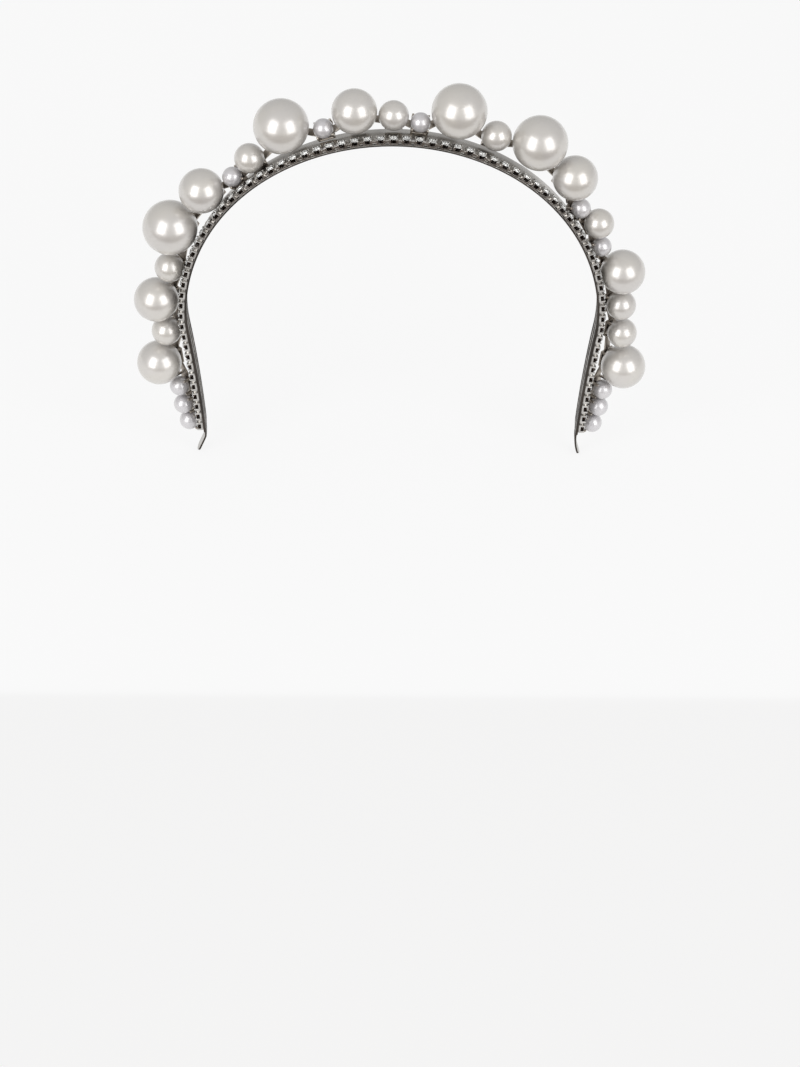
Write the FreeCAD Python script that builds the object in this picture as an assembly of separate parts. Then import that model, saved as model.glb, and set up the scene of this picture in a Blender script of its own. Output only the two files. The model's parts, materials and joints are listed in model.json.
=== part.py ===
import FreeCAD, Part
import collections
import math
import os

# A pearl and crystal headband.  One springy strip of polished steel goes over the head.  A chain
# of square cups, each with a round crystal, is soldered along its front edge.  Behind the chain
# stands a row of thirty pearls in four sizes, each on a square four-claw setting that is tilted
# forwards, and flat bars link the settings.
#
# Frame: millimetres, +Z up over the crown, +X to the right as seen from the front, -Y to the
# front.  The origin is the centre of the crown arc, half way across the width of the strip.


# ---- the strip --------------------------------------------------------------------------------
CROWN_RADIUS = 85.0          # inner face, over the top of the head
CROWN_ANGLE = 31.0           # degrees from level, where the crown arc ends
SHOULDER_RADIUS = 79.0       # inner face, from the crown down to the widest point
UPRIGHT_ANGLE = 90.0         # the strip stands upright at its widest point
TEMPLE_RADIUS = 65.0         # inner face, turning in again below the widest point
TEMPLE_ANGLE = 99.5          # degrees from level, the most that the leg leans in
LEG_RADIUS = 600.0           # the leg straightens again, curving slightly outwards
TONGUE_FLARE = 26.0          # degrees that a tongue turns outwards, clear of the skin
TONGUE_LENGTH = 10.0
LEFT_TONGUE_RADIUS = 5.0     # the left tongue is bent sharply, and straight from there on
RIGHT_TONGUE_RADIUS = 22.0   # the right tongue curves all the way
TONGUE_WIDTH = 5.0
BAND_WIDTH = 12.0
BAND_THICKNESS = 0.8
GROOVE_WIDTH = 0.6           # two lengthwise grooves in the inner face, so that it grips the hair
GROOVE_DEPTH = 0.2
GROOVE_SPACING = 4.0

# ---- the crystal chain ------------------------------------------------------------------------
CUP_PITCH = 4.9              # the true pitch fills the chain evenly, with a cup at the middle
CUP_SIZE = 3.6
CUP_WALL = 0.3
CUP_FLOOR = 0.4
CUP_HEIGHT = 2.1             # top of the walls, where the girdle of the crystal sits
WINDOW_WIDTH = 2.1           # the front and back walls are cut down to a sill
WINDOW_SILL = 0.75
PRONG_SIZE = 0.6
PRONG_RISE = 0.45            # above the walls
PRONG_HOOK = 0.75            # how far a prong tip reaches in from the corner of the cup
CHAIN_LINK_WIDTH = 2.4
CHAIN_LINK_HEIGHT = 1.3
CHAIN_LINK_SILL = 0.3        # the links pass clear over the strip
SEAM_STATION = 22.0          # the two pieces of chain meet here, along the strip from the middle
SEAM_GAP = 0.4               # the last link of the left piece stops short of the next cup
CRYSTAL_DIAMETER = 2.9
CRYSTAL_SIDES = 8
TABLE_SHARE = 0.56           # the flat top of the crystal, as a share of its diameter
CULET_DIAMETER = 0.5
GIRDLE_HEIGHT = 0.15
CRYSTAL_CROWN = 0.45

# ---- the pearls and their settings ------------------------------------------------------------
PEARL_DIAMETER = {"seed": 8.0, "small": 12.0, "medium": 18.0, "large": 22.0}
PEARL_CLEARANCE = 0.15       # between the fullest pearl and the chain in front of it
SETTING_TILT = 40.0          # degrees that a setting faces forwards, from straight outwards
CLAW_SIZE = 0.8
CLAW_GRIP = 0.2              # how deep a seed pearl sits between its claws
CLAW_HEIGHT = 3.4            # above the plate, nearly to the middle of a seed pearl
FOOT_MARGIN = 0.6            # from a foot to the rear edge of the strip, at the least
PLATE_THICKNESS = 0.8
SEAT_DEPTH = 0.2             # a pearl sits this deep in its plate
PEG_DIAMETER = 1.0
PEG_REACH = 3.0              # how far the peg goes into the pearl
SETTING_LINK_WIDTH = 2.8
SETTING_LINK_THICKNESS = 0.8
NECK_MARGIN = 0.3            # strip left past the last foot, before the tongue flares

# The row of pearls, from the middle of the crown outwards: size, height of its underside above
# the strip, and clear gap to the pearl before it.
MIDDLE_PEARL = ("small", 2.0, 0.0)
LEFT_PEARLS = [
    ("medium", 2.0, 0.5), ("seed", 2.0, 1.5), ("large", 2.0, 1.5), ("small", 1.0, 2.5),
    ("seed", 1.0, 1.0), ("medium", 1.0, 1.0), ("large", 1.5, 1.5), ("small", 1.5, 2.0),
    ("medium", 2.5, 1.5), ("small", 3.0, 0.5), ("medium", 5.5, 1.0), ("seed", 4.0, 1.0),
    ("seed", 3.5, 1.0), ("seed", 2.0, 0.3),
]
RIGHT_PEARLS = [
    ("seed", 1.5, 1.0), ("large", 2.5, 1.0), ("small", 2.0, 1.5), ("large", 3.0, 0.5),
    ("medium", 2.5, 1.5), ("seed", 1.0, 1.5), ("small", 2.0, 0.3), ("seed", 1.0, 1.0),
    ("medium", 1.5, 2.0), ("small", 3.0, 1.0), ("small", 5.0, 1.5), ("medium", 5.5, 1.5),
    ("seed", 4.0, 1.0), ("seed", 3.5, 0.5), ("seed", 2.0, 0.5),
]

# ---- worked out from the sizes above ------------------------------------------------------------
FRONT_EDGE = -BAND_WIDTH / 2
CUP_DEPTH = FRONT_EDGE + CUP_SIZE / 2
SEED_RADIUS = PEARL_DIAMETER["seed"] / 2
CLAW_INNER = (SEED_RADIUS - CLAW_GRIP) / math.sqrt(2)
CLAW_OFFSET = CLAW_INNER + CLAW_SIZE / 2
PLATE_SIZE = 2 * (CLAW_INNER + CLAW_SIZE)
FOOT_DEPTH = BAND_WIDTH / 2 - FOOT_MARGIN - CLAW_SIZE / 2
EMBED = 0.3                  # how far a piece is drawn into its neighbour before it is trimmed
HALVINGS = 50                # enough to find a station to the last digit

UP = FreeCAD.Vector(0, 0, 1)
ACROSS = FreeCAD.Vector(0, 1, 0)
ALONG = FreeCAD.Vector(1, 0, 0)


def row_depth():
    """How far back the pearls' centres stand, so that the fullest of them just clears the chain."""
    chain_back = FRONT_EDGE + CUP_SIZE
    chain_top = CUP_HEIGHT + PRONG_RISE
    depths = []
    for size, underside, _ in [MIDDLE_PEARL] + LEFT_PEARLS + RIGHT_PEARLS:
        radius = PEARL_DIAMETER[size] / 2
        drop = min(underside + radius - chain_top, radius)
        depths.append(chain_back + math.sqrt((radius + PEARL_CLEARANCE) ** 2 - drop ** 2))
    return max(depths)


PEARL_DEPTH = row_depth()

Arc = collections.namedtuple("Arc", "start stop angle radius centre_x centre_z")
Pearl = collections.namedtuple("Pearl", "size radius station height")


# ---- the line of the strip ----------------------------------------------------------------------
# A station is a distance along the inner face from the middle of the crown, and is negative on
# the left.  An angle is how far the strip has turned down from level.

def arc_point(arc, station, height):
    """The point at a height above the inner face, and the angle of the strip there."""
    angle = arc.angle + (station - arc.start) / arc.radius
    reach = arc.radius + height
    x = arc.centre_x + reach * math.sin(angle)
    z = arc.centre_z + reach * math.cos(angle)
    return x, z, angle


def add_arc(arcs, radius, turn):
    """Joins a new arc on smoothly.  A negative radius curves outwards."""
    if arcs:
        start = arcs[-1].stop
        x, z, angle = arc_point(arcs[-1], start, 0)
    else:
        start, x, z, angle = 0.0, 0.0, radius, 0.0
    stop = start + abs(radius * turn)
    centre_x = x - radius * math.sin(angle)
    centre_z = z - radius * math.cos(angle)
    arcs.append(Arc(start, stop, angle, radius, centre_x, centre_z))


def head_arcs():
    """One side of the inner face, from the middle of the crown down to a leg without an end."""
    arcs = []
    add_arc(arcs, CROWN_RADIUS, math.radians(CROWN_ANGLE))
    add_arc(arcs, SHOULDER_RADIUS, math.radians(UPRIGHT_ANGLE - CROWN_ANGLE))
    add_arc(arcs, TEMPLE_RADIUS, math.radians(TEMPLE_ANGLE - UPRIGHT_ANGLE))
    add_arc(arcs, -LEG_RADIUS, math.radians(UPRIGHT_ANGLE))
    return arcs


def on_strip(arcs, station, height):
    side = math.copysign(1, station)
    arc = [each for each in arcs if each.start <= abs(station)][-1]
    x, z, angle = arc_point(arc, abs(station), height)
    return FreeCAD.Vector(side * x, 0, z), side * math.degrees(angle)


def placed(shape, arcs, station, height, depth, tilt=0.0):
    """A copy of a shape, drawn with +X along the strip and +Z outwards, in its place."""
    point, angle = on_strip(arcs, station, height)
    turn = FreeCAD.Rotation(ACROSS, angle).multiply(FreeCAD.Rotation(ALONG, tilt))
    copy = shape.copy()
    copy.Placement = FreeCAD.Placement(point + ACROSS * depth, turn)
    return copy


def layer(legs, low, high, front, back):
    """A lengthwise slice of the strip, between two heights and two depths, from tip to tip."""
    pieces = []
    for side, arcs in legs.items():
        for arc in arcs:
            middle = (arc.start + arc.stop) / 2
            corners = []
            for height in (low, high):
                for station in (arc.start, middle, arc.stop):
                    x, z, _ = arc_point(arc, station, height)
                    corners.append(FreeCAD.Vector(side * x, front, z))
            edges = [
                Part.Arc(*corners[:3]).toShape(),
                Part.makeLine(corners[2], corners[5]),
                Part.Arc(*corners[:2:-1]).toShape(),
                Part.makeLine(corners[3], corners[0]),
            ]
            face = Part.Face(Part.Wire(edges))
            pieces.append(face.extrude(ACROSS * (back - front)))
    return pieces[0].fuse(pieces[1:]).removeSplitter()


# ---- small shapes -------------------------------------------------------------------------------

def box(size_x, size_y, low_z, high_z, x=0.0, y=0.0):
    corner = FreeCAD.Vector(x - size_x / 2, y - size_y / 2, low_z)
    return Part.makeBox(size_x, size_y, high_z - low_z, corner)


def ring(radius, z, sides):
    points = []
    for side in range(sides + 1):
        angle = 2 * math.pi * (side + 0.5) / sides
        points.append(FreeCAD.Vector(radius * math.cos(angle), radius * math.sin(angle), z))
    return Part.makePolygon(points)


def four_corners(offset):
    return [(x, y) for x in (-offset, offset) for y in (-offset, offset)]


# ---- the crystal chain --------------------------------------------------------------------------

def crystal():
    """A round brilliant with its culet on the floor of the cup and its girdle on the walls."""
    radius = CRYSTAL_DIAMETER / 2
    rings = [
        ring(CULET_DIAMETER / 2, CUP_FLOOR, CRYSTAL_SIDES),
        ring(radius, CUP_HEIGHT, CRYSTAL_SIDES),
        ring(radius, CUP_HEIGHT + GIRDLE_HEIGHT, CRYSTAL_SIDES),
        ring(radius * TABLE_SHARE, CUP_HEIGHT + GIRDLE_HEIGHT + CRYSTAL_CROWN, CRYSTAL_SIDES),
    ]
    return Part.makeLoft(rings, True, True)


def chain_cup(stone):
    """A square cup that is open front and back, with a hooked prong at each corner."""
    inside = CUP_SIZE - 2 * CUP_WALL
    cup = box(CUP_SIZE, CUP_SIZE, 0, CUP_HEIGHT)
    cup = cup.cut(box(inside, inside, CUP_FLOOR, CUP_HEIGHT))
    cup = cup.cut(box(WINDOW_WIDTH, CUP_SIZE, WINDOW_SILL, CUP_HEIGHT))
    corner = CUP_SIZE / 2
    top = CUP_HEIGHT + PRONG_RISE
    for x, y in four_corners(corner - PRONG_SIZE / 2):
        post = box(PRONG_SIZE, PRONG_SIZE, 0, top, x, y)
        hook = box(PRONG_HOOK, PRONG_SIZE, 0, PRONG_RISE, -PRONG_HOOK / 2)
        hook.Placement = FreeCAD.Placement(
            FreeCAD.Vector(x, y, CUP_HEIGHT),
            FreeCAD.Rotation(UP, math.degrees(math.atan2(y, x))),
        )
        cup = cup.fuse([post, hook])
    return cup.cut(stone).removeSplitter()


def chain_link(pitch, shortfall=0.0):
    """A flat bar between two cups, clear over the strip."""
    length = pitch - CUP_SIZE + 2 * EMBED - shortfall
    top = CHAIN_LINK_SILL + CHAIN_LINK_HEIGHT
    return box(length, CHAIN_LINK_WIDTH, CHAIN_LINK_SILL, top, -shortfall / 2)


# ---- the pearls and their settings --------------------------------------------------------------
# Each is drawn around the centre of its pearl, with +Z outwards along the tilted setting.

def plate_top(radius):
    return SEAT_DEPTH - radius


def peg(radius):
    low = plate_top(radius) - PLATE_THICKNESS
    return Part.makeCylinder(PEG_DIAMETER / 2, PLATE_THICKNESS - SEAT_DEPTH + PEG_REACH, UP * low)


def pearl_body(radius):
    return Part.makeSphere(radius).cut(peg(radius))


def setting_body(radius):
    """A square plate behind the pearl, with a claw at each corner reaching up round its back."""
    top = plate_top(radius)
    low = top - PLATE_THICKNESS
    plate = box(PLATE_SIZE, PLATE_SIZE, low, top)
    tip = top + CLAW_HEIGHT
    claws = [box(CLAW_SIZE, CLAW_SIZE, low, tip, x, y) for x, y in four_corners(CLAW_OFFSET)]
    return plate.fuse(claws).cut([Part.makeSphere(radius), peg(radius)])


def feet(radius, height):
    """Two struts from the front corners of the plate to the strip.

    They are drawn around the centre of the pearl, with +Z straight outwards.  A strut goes
    straight down where the strip lies below the corner, and slants forwards where it doesn't.
    """
    low = plate_top(radius) - PLATE_THICKNESS / 2
    tilt = math.radians(SETTING_TILT)
    corner_y = -low * math.sin(tilt) - CLAW_OFFSET * math.cos(tilt)
    corner_z = low * math.cos(tilt) - CLAW_OFFSET * math.sin(tilt)
    floor = BAND_THICKNESS / 2 - height
    foot_y = min(corner_y, FOOT_DEPTH - PEARL_DEPTH)
    top_z = max(corner_z, floor + BAND_THICKNESS)
    struts = []
    for x in (-CLAW_OFFSET, CLAW_OFFSET):
        foot = FreeCAD.Vector(x, foot_y, floor)
        rise = FreeCAD.Vector(x, corner_y, top_z) - foot
        strut = box(CLAW_SIZE, CLAW_SIZE, 0, rise.Length)
        strut.Placement = FreeCAD.Placement(foot, FreeCAD.Rotation(UP, rise))
        struts.append(strut)
    return struts


def centre_height(size, underside):
    return BAND_THICKNESS + underside + PEARL_DIAMETER[size] / 2


def walk(arcs, side, row, extra_gap):
    """Pearls in their order outwards, each at its clear gap from the one before it."""
    size, underside, _ = MIDDLE_PEARL
    height = centre_height(size, underside)
    pearls = [Pearl(size, PEARL_DIAMETER[size] / 2, 0.0, height)]
    for size, underside, gap in row:
        before = pearls[-1]
        radius = PEARL_DIAMETER[size] / 2
        height = centre_height(size, underside)
        spacing = before.radius + radius + gap + extra_gap
        start, _ = on_strip(arcs, before.station, before.height)

        def overshoot(station):
            point, _ = on_strip(arcs, station, height)
            return point.distanceToPoint(start) - spacing

        near = before.station
        far = before.station + side * (spacing + 2 * max(height, before.height))
        pearls.append(Pearl(size, radius, root(overshoot, near, far), height))
    return pearls[1:]


def root(function, low, high):
    """Where a rising function crosses zero, by halving."""
    for _ in range(HALVINGS):
        middle = (low + high) / 2
        if function(middle) < 0:
            low = middle
        else:
            high = middle
    return (low + high) / 2


def even_walk(arcs, side, row, end):
    """A walk whose gaps are opened evenly until its last pearl stands at the given end."""
    def overshoot(extra_gap):
        return abs(walk(arcs, side, row, extra_gap)[-1].station) - end

    return walk(arcs, side, row, root(overshoot, 0.0, end / len(row)))


def pearl_row(arcs):
    ends = [
        abs(walk(arcs, side, row, 0.0)[-1].station)
        for side, row in ((-1, LEFT_PEARLS), (1, RIGHT_PEARLS))
    ]
    end = max(ends)
    size, underside, _ = MIDDLE_PEARL
    middle = Pearl(size, PEARL_DIAMETER[size] / 2, 0.0, centre_height(size, underside))
    left = even_walk(arcs, -1, LEFT_PEARLS, end)
    right = even_walk(arcs, 1, RIGHT_PEARLS, end)
    return left[::-1] + [middle] + right, end


def setting_link(first, second, frames):
    """A flat bar between the plates of two neighbouring settings."""
    points = []
    for pearl, frame, side in ((first, frames[0], 1), (second, frames[1], -1)):
        middle = plate_top(pearl.radius) - PLATE_THICKNESS / 2
        edge = PLATE_SIZE / 2 - EMBED
        points.append(frame.multVec(FreeCAD.Vector(side * edge, 0, middle)))
    along = points[1] - points[0]
    across = frames[0].Rotation.multVec(ACROSS) + frames[1].Rotation.multVec(ACROSS)
    turn = FreeCAD.Rotation(along, across, FreeCAD.Vector(), "XYZ")
    half = SETTING_LINK_THICKNESS / 2
    bar = box(along.Length, SETTING_LINK_WIDTH, -half, half, along.Length / 2)
    bar.Placement = FreeCAD.Placement(points[0], turn)
    return bar


def trimmed(bar, neighbours):
    """What is left of a bar between its two neighbours, filed to meet them face to face."""
    return max(bar.cut(neighbours).Solids, key=lambda solid: solid.Volume)


# ---- building it --------------------------------------------------------------------------------

def save(name, solids):
    shape = solids[0] if len(solids) == 1 else Part.makeCompound(solids)
    shape.exportStep("parts/" + name + ".step")
    print(name, len(solids), "solid" if len(solids) == 1 else "solids")


def with_tongue(arcs, radius):
    """One leg of the strip, ending in a tongue that is bent outwards to a radius."""
    leg = list(arcs)
    turn = math.radians(TONGUE_FLARE)
    add_arc(leg, -radius, turn)
    rest = TONGUE_LENGTH - radius * turn
    if rest > 0:
        add_arc(leg, -LEG_RADIUS, rest / LEG_RADIUS)
    return leg


def strip(legs, chain_end, neck):
    """The springy strip: full width as far as the chain, then a narrow tongue at each end."""
    solid = layer(legs, 0, BAND_THICKNESS, FRONT_EDGE, -FRONT_EDGE)
    for side in (-1, 1):
        front = (side * GROOVE_SPACING - GROOVE_WIDTH) / 2
        groove = layer(legs, -GROOVE_DEPTH, GROOVE_DEPTH, front, front + GROOVE_WIDTH)
        solid = solid.cut(groove)
    halves = [plan(arcs, side, chain_end, neck) for side, arcs in legs.items()]
    return solid.common(halves[0].fuse(halves[1])).removeSplitter()


def plan(arcs, side, chain_end, neck):
    """What the strip keeps of its width on one leg, seen from the side and drawn right across."""
    wide = BAND_WIDTH / 2
    slim = TONGUE_WIDTH / 2
    shoulder_z = on_strip(arcs, chain_end, 0)[0].z
    neck_z = on_strip(arcs, neck, 0)[0].z
    tip_z = on_strip(arcs, arcs[-1].stop, 0)[0].z
    bend_z = (shoulder_z + neck_z) / 2
    reach = CROWN_RADIUS + SHOULDER_RADIUS
    top_z = CROWN_RADIUS + BAND_THICKNESS * 2

    def point(y, z):
        return FreeCAD.Vector(0, y, z)

    def shoulder(edge, start_z, stop_z, start_y, stop_y):
        outer = Part.BezierCurve()
        outer.setPoles([
            point(edge * start_y, start_z), point(edge * start_y, bend_z),
            point(edge * stop_y, bend_z), point(edge * stop_y, stop_z),
        ])
        return outer.toShape()

    round_z = tip_z + slim
    edges = [
        Part.makeLine(point(-wide, top_z), point(wide, top_z)),
        Part.makeLine(point(wide, top_z), point(wide, shoulder_z)),
        shoulder(1, shoulder_z, neck_z, wide, slim),
        Part.makeLine(point(slim, neck_z), point(slim, round_z)),
        Part.Arc(point(slim, round_z), point(0, tip_z), point(-slim, round_z)).toShape(),
        Part.makeLine(point(-slim, round_z), point(-slim, neck_z)),
        shoulder(-1, neck_z, shoulder_z, slim, wide),
        Part.makeLine(point(-wide, shoulder_z), point(-wide, top_z)),
    ]
    return Part.Face(Part.Wire(edges)).extrude(ALONG * side * reach)


def build():
    os.makedirs("parts", exist_ok=True)
    arcs = head_arcs()
    pearls, chain_end = pearl_row(arcs)
    neck = chain_end + PLATE_SIZE / 2 + NECK_MARGIN
    arcs[-1] = arcs[-1]._replace(stop=neck)
    legs = {
        -1: with_tongue(arcs, LEFT_TONGUE_RADIUS),
        1: with_tongue(arcs, RIGHT_TONGUE_RADIUS),
    }
    band = strip(legs, chain_end, neck)
    save("band", [band])

    # The chain.
    half_count = round(chain_end / CUP_PITCH - 0.5)
    count = 2 * half_count + 1
    pitch = 2 * chain_end / count
    stone = crystal()
    cup = chain_cup(stone)
    link = chain_link(pitch)
    seam_link = chain_link(pitch, EMBED + SEAM_GAP)
    stations = [(place + 0.5) * pitch - chain_end for place in range(count)]
    cups = []
    stones = []
    for station in stations:
        where = (arcs, station, BAND_THICKNESS, CUP_DEPTH)
        cups.append(placed(cup, *where).cut(band))
        stones.append(placed(stone, *where))
    left_count = sum(station < SEAM_STATION for station in stations)
    save("chain_cups_left", cups[:left_count])
    save("chain_cups_right", cups[left_count:])
    save("crystals_left", stones[:left_count])
    save("crystals_right", stones[left_count:])
    links = []
    for place in range(count - 1):
        station = (stations[place] + stations[place + 1]) / 2
        shape = seam_link if place == left_count - 1 else link
        bar = placed(shape, arcs, station, BAND_THICKNESS, CUP_DEPTH)
        links.append(trimmed(bar, cups[place:place + 2]))
    save("chain_links", links)

    # The pearls, their settings and the bars between the settings.
    settings = {size: [] for size in PEARL_DIAMETER}
    pegs = []
    frames = []
    row_settings = []
    for number, pearl in enumerate(pearls, 1):
        where = (arcs, pearl.station, pearl.height, PEARL_DEPTH)
        ball = placed(pearl_body(pearl.radius), *where, SETTING_TILT)
        save("pearl_%02d_%s" % (number, pearl.size), [ball])
        setting = placed(setting_body(pearl.radius), *where, SETTING_TILT)
        posts = [placed(foot, *where) for foot in feet(pearl.radius, pearl.height)]
        setting = setting.fuse(posts).cut([ball, band]).removeSplitter()
        settings[pearl.size] += setting.Solids
        row_settings.append(setting)
        pegs.append(placed(peg(pearl.radius), *where, SETTING_TILT))
        frames.append(ball.Placement)
    for size, solids in settings.items():
        save("claw_settings_" + size, solids)
    save("pearl_pegs", pegs)
    bars = []
    for place in range(len(pearls) - 1):
        bar = setting_link(pearls[place], pearls[place + 1], frames[place:place + 2])
        bars.append(trimmed(bar, row_settings[place:place + 2]))
    save("setting_links", bars)


build()
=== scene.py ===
# %% [markdown]
# # A pearl and crystal headband
#
# The real headband is one springy strip of dark steel.  A chain of square cups, each with a
# round crystal, is soldered along its front edge.  Behind the chain stands a row of thirty
# pearls in four sizes, each on a square four-claw setting, and flat bars join the settings.
#
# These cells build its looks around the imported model.  Everything is in metres: +Z is up over
# the crown, +X is to the right as seen from the front, and -Y is to the front.  The origin is
# the centre of the crown arc, half way across the width of the strip.

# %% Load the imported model
import json
import math

import bmesh
import bpy
from mathutils import Matrix, Vector

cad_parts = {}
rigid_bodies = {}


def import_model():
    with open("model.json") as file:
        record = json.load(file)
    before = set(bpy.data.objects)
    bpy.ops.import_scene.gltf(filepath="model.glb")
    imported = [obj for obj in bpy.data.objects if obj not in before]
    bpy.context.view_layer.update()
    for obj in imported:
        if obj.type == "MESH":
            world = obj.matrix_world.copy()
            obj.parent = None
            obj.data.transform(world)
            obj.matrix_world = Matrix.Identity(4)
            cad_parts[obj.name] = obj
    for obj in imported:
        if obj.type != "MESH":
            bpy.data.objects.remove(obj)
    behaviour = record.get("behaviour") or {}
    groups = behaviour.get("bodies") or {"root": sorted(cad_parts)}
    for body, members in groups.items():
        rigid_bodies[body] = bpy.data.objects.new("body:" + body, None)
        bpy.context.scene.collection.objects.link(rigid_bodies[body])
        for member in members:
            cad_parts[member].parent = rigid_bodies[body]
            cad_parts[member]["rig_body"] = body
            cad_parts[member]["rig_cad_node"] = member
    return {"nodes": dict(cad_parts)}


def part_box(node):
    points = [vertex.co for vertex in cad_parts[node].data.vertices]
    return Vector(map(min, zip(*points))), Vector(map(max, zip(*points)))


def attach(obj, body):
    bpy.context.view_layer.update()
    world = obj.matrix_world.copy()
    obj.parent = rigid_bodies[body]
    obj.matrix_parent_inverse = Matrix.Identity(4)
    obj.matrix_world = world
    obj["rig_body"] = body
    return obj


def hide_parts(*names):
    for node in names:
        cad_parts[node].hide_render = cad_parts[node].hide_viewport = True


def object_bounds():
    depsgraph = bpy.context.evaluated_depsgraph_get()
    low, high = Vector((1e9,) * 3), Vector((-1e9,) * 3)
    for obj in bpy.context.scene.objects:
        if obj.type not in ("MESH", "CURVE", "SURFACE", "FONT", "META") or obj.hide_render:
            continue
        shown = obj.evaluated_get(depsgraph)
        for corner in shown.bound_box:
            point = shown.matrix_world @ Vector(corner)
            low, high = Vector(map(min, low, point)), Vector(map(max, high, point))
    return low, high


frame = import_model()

MODEL_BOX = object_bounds()
BODY = "root"
MM = 0.001
HAIR = 0.001 * MM
FACING_UP = 0.9
print("the packed model measures", [round(v / MM, 1) for v in MODEL_BOX[1] - MODEL_BOX[0]], "mm")

# %% [markdown]
# ## Hand tools
#
# An operator works on whatever is selected, so each step starts from an empty selection.
# Faces, edges and points are chosen by where they are, which is what the eye does when they
# are picked by hand.

# %% Picking things by where they are
def let_go():
    bpy.ops.object.select_all(action="DESELECT")


def hold(*pieces):
    """Selects these pieces and nothing else.  The first one is the one being worked on."""
    let_go()
    for piece in pieces:
        piece.select_set(True)
    bpy.context.view_layer.objects.active = pieces[0]
    return pieces[0]


def choose(piece, kind, wanted):
    """In edit mode, selects the points, edges or faces that pass a test."""
    bpy.ops.mesh.select_mode(type=kind)
    bpy.ops.mesh.select_all(action="DESELECT")
    shape = bmesh.from_edit_mesh(piece.data)
    shape.normal_update()
    for item in {"VERT": shape.verts, "EDGE": shape.edges, "FACE": shape.faces}[kind]:
        if wanted(item):
            item.select_set(True)
    shape.select_flush_mode()
    bmesh.update_edit_mesh(piece.data)


def middle_of(edge):
    return (edge.verts[0].co + edge.verts[1].co) / 2


def start_edit(piece):
    hold(piece)
    bpy.ops.object.mode_set(mode="EDIT")
    bpy.ops.mesh.select_all(action="SELECT")


def stop_edit():
    bpy.ops.object.mode_set(mode="OBJECT")


def newly_made(name):
    """Names the primitive just added, and moves its size and place into its mesh."""
    piece = bpy.context.object
    piece.name = name
    piece.data.name = name
    hold(piece)
    bpy.ops.object.transform_apply(location=True, rotation=True, scale=True)
    return piece


def block(name, size, middle):
    """A block added at its size and place, to be shaped afterwards."""
    let_go()
    bpy.ops.mesh.primitive_cube_add(size=1, location=middle, scale=size)
    return newly_made(name)


def modify(piece, kind, **settings):
    """Adds a modifier, sets it and applies it."""
    hold(piece)
    modifier = piece.modifiers.new(kind.lower(), kind)
    for setting, value in settings.items():
        setattr(modifier, setting, value)
    bpy.ops.object.modifier_apply(modifier=modifier.name)


def outwards(piece):
    """Merges doubled points and turns every face outwards."""
    start_edit(piece)
    bpy.ops.mesh.remove_doubles(threshold=HAIR)
    bpy.ops.mesh.normals_make_consistent(inside=False)
    stop_edit()


def soften(piece, width, segments=2, angle=30):
    """Rounds every edge that turns by more than an angle."""
    modify(
        piece, "BEVEL", width=width, segments=segments, limit_method="ANGLE",
        angle_limit=math.radians(angle), harden_normals=False,
    )


def smooth(piece, angle=35):
    hold(piece)
    bpy.ops.object.shade_smooth_by_angle(angle=math.radians(angle))


def scrap(*pieces):
    for piece in pieces:
        bpy.data.objects.remove(piece)


# %% [markdown]
# ## The line of the strip
#
# The strip follows one smooth line over the head, made of circular arcs that meet without a
# corner.  A station is a distance along its inner face from the middle of the crown.  Once the
# line is known, a cup or a link that was modelled once can be set down anywhere along it.

# %% Arcs of the strip, from the crown down one side
CROWN_RADIUS = 85 * MM
CROWN_ANGLE = math.radians(31)
SHOULDER_RADIUS = 79 * MM
SHOULDER_ANGLE = math.pi / 2 - CROWN_ANGLE
TEMPLE_RADIUS = 65 * MM
TEMPLE_ANGLE = math.radians(9.5)
LEG_RADIUS = 600 * MM
LEG_TURN = math.radians(30)
TONGUE_ANGLE = math.radians(26)
TONGUE_LENGTH = 10 * MM
TONGUE_RADIUS = {"left": 5 * MM, "right": 22 * MM}
BAND_THICKNESS = 0.8 * MM


def add_arc(arcs, radius, turn):
    """Joins an arc on smoothly, as start, stop, angle, radius and centre."""
    start, x, z, angle = 0.0, 0.0, radius, 0.0
    if arcs:
        start = arcs[-1][1]
        x, z, angle = point_on(arcs[-1], start, 0)
    centre = (x - radius * math.sin(angle), z - radius * math.cos(angle))
    arcs.append((start, start + abs(radius * turn), angle, radius, centre))


def point_on(arc, station, height):
    """Where a point stands at a height above the inner face, and the slope of the strip."""
    start, _, angle, radius, centre = arc
    slope = angle + (station - start) / radius
    reach = radius + height
    return centre[0] + reach * math.sin(slope), centre[1] + reach * math.cos(slope), slope


arcs = []
add_arc(arcs, CROWN_RADIUS, CROWN_ANGLE)
add_arc(arcs, SHOULDER_RADIUS, SHOULDER_ANGLE)
add_arc(arcs, TEMPLE_RADIUS, TEMPLE_ANGLE)
add_arc(arcs, -LEG_RADIUS, LEG_TURN)
print("the strip turns upright", round(arcs[1][1] / MM, 1), "mm from the middle of the crown")

# %% Setting a shape down on the strip
def on_strip(station, height, depth):
    """Turns a shape drawn with +X along the strip and +Z outwards, and moves it to its place."""
    side = math.copysign(1, station)
    arc = [each for each in arcs if each[0] <= abs(station)][-1]
    x, z, slope = point_on(arc, abs(station), height)
    place = Matrix.Translation((side * x, depth, z))
    return place @ Matrix.Rotation(side * slope, 4, "Y")


def centre_of(node):
    low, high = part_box(node)
    return (low + high) / 2


def nearest_station(point):
    """How far round the strip a point on the right leg stands."""
    leg = arcs[-1]
    near, far = leg[0], leg[1]
    while far - near > HAIR:
        station = (near + far) / 2
        x, z, slope = point_on(leg, station, 0)
        ahead = (point.x - x) * math.cos(slope) - (point.z - z) * math.sin(slope)
        near, far = (station, far) if ahead > 0 else (near, station)
    return near


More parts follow.
